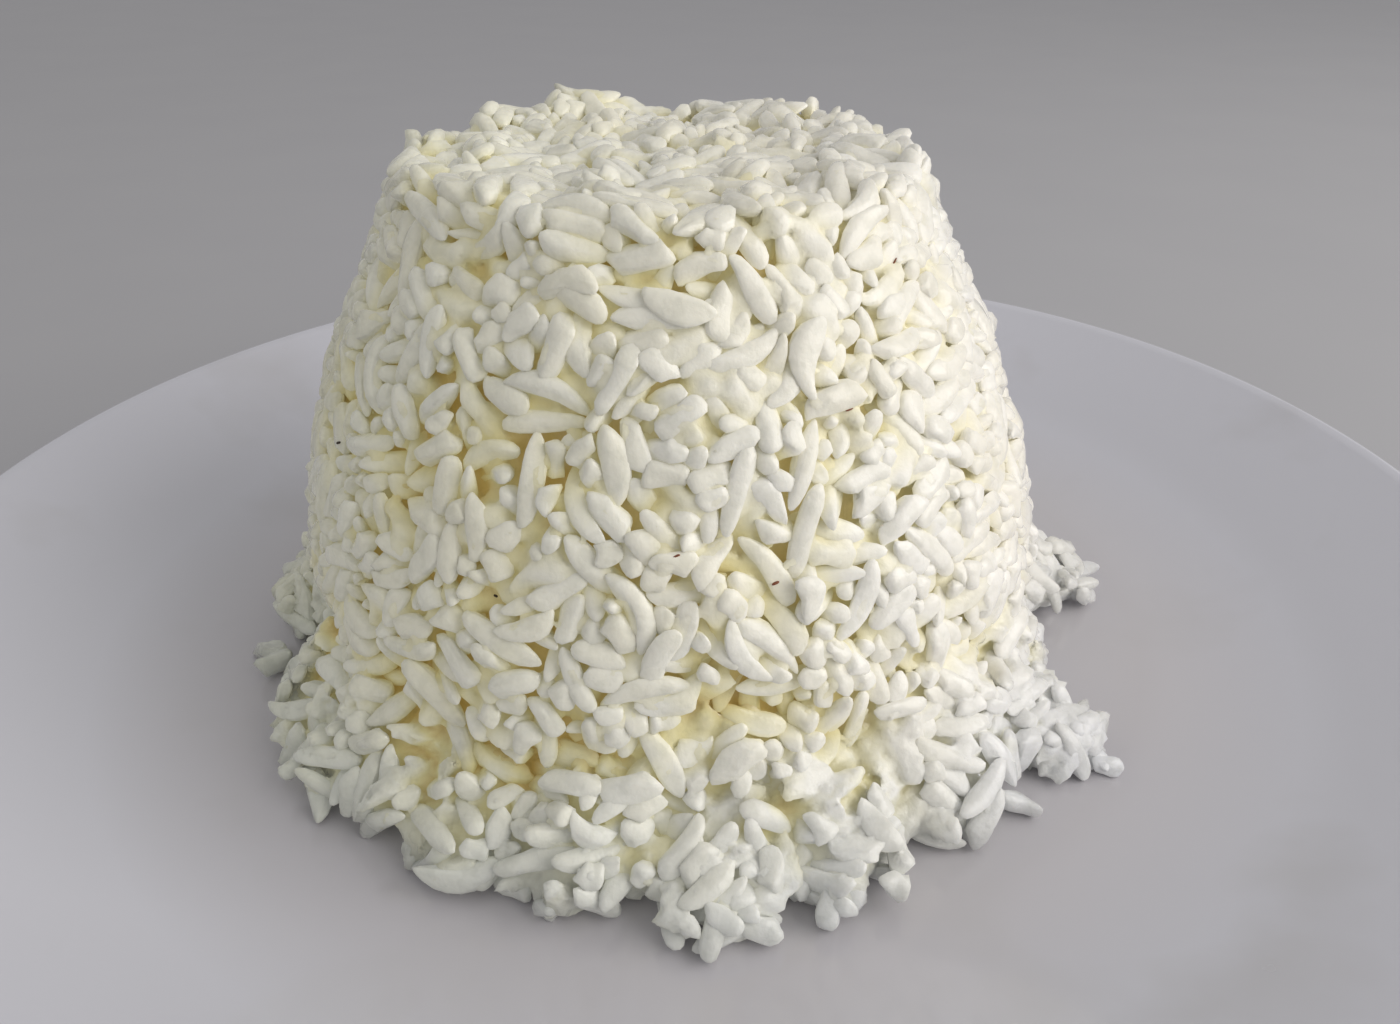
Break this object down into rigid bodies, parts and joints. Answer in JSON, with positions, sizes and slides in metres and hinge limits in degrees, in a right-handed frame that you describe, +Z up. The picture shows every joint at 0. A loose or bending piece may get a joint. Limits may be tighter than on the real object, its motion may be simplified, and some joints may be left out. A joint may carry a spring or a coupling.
{
  "type": "rice plate",
  "caption": "Moulded mound of steamed white rice with a slumped skirt of loose grains, served on a round shallow white plate.",
  "frame": {"origin": "on the plate's axis at the surface it stands on", "axes": "+Z up along the plate's axis, -Y towards the front of the mound as served, +X to its right"},
  "size_m": [0.21, 0.21, 0.0727],
  "materials": {
    "plate_glaze": "clear gloss glaze over white porcelain",
    "cooked_rice": null
  },
  "bodies": {
    "root": {"plate": "plate_glaze", "rice_heap": "cooked_rice"}
  },
  "joints": []
}
